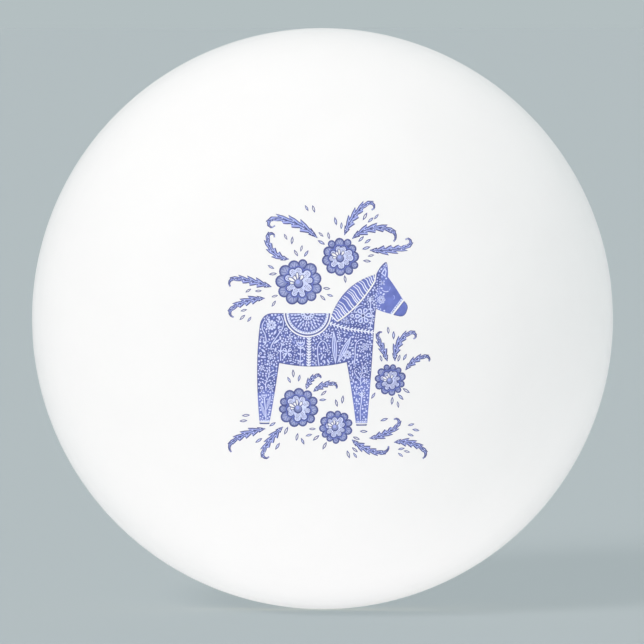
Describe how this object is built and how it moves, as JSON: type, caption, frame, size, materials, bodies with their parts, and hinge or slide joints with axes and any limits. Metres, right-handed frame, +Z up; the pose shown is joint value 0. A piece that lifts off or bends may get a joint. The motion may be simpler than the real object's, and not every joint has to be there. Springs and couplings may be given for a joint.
{
  "type": "printed table tennis ball",
  "caption": "Hollow white table tennis ball in two cemented half shells, with a blue folk-art print of a dala horse among flowers and curled leaves on its front.",
  "frame": {"origin": "the centre of the ball", "axes": "-Y out through the middle of the print, +Z up the print, +X to the right of someone facing the print; the seam is the circle in the XZ plane"},
  "size_m": [0.04, 0.04, 0.04],
  "materials": {
    "shell": "smooth satin gloss, faint moulding texture",
    "cement": "dried solvent cement, slightly yellow",
    "ink": "thin printed ink, mottled like watercolour, in several blues"
  },
  "bodies": {
    "root": {"front_shell": "shell", "back_shell": "shell", "cement_bead": "cement", "ink_horse_body": "ink", "ink_horse_saddle": "ink", "ink_horse_mane": "ink", "ink_horse_muzzle": "ink", "ink_horse_hind_hoof": "ink", "ink_horse_fore_hoof": "ink", "ink_flower_upper_left": "ink", "ink_flower_top": "ink", "ink_flower_right": "ink", "ink_flower_lower_left": "ink", "ink_flower_lower_middle": "ink", "ink_leaf_01": "ink", "ink_leaf_02": "ink", "ink_leaf_03": "ink", "ink_leaf_04": "ink", "ink_leaf_05": "ink", "ink_leaf_06": "ink", "ink_leaf_07": "ink", "ink_leaf_08": "ink", "ink_leaf_09": "ink", "ink_leaf_10": "ink", "ink_leaf_11": "ink", "ink_leaf_12": "ink", "ink_leaf_13": "ink", "ink_leaf_14": "ink", "ink_leaf_15": "ink", "ink_leaf_16": "ink", "ink_leaf_17": "ink"}
  },
  "joints": []
}
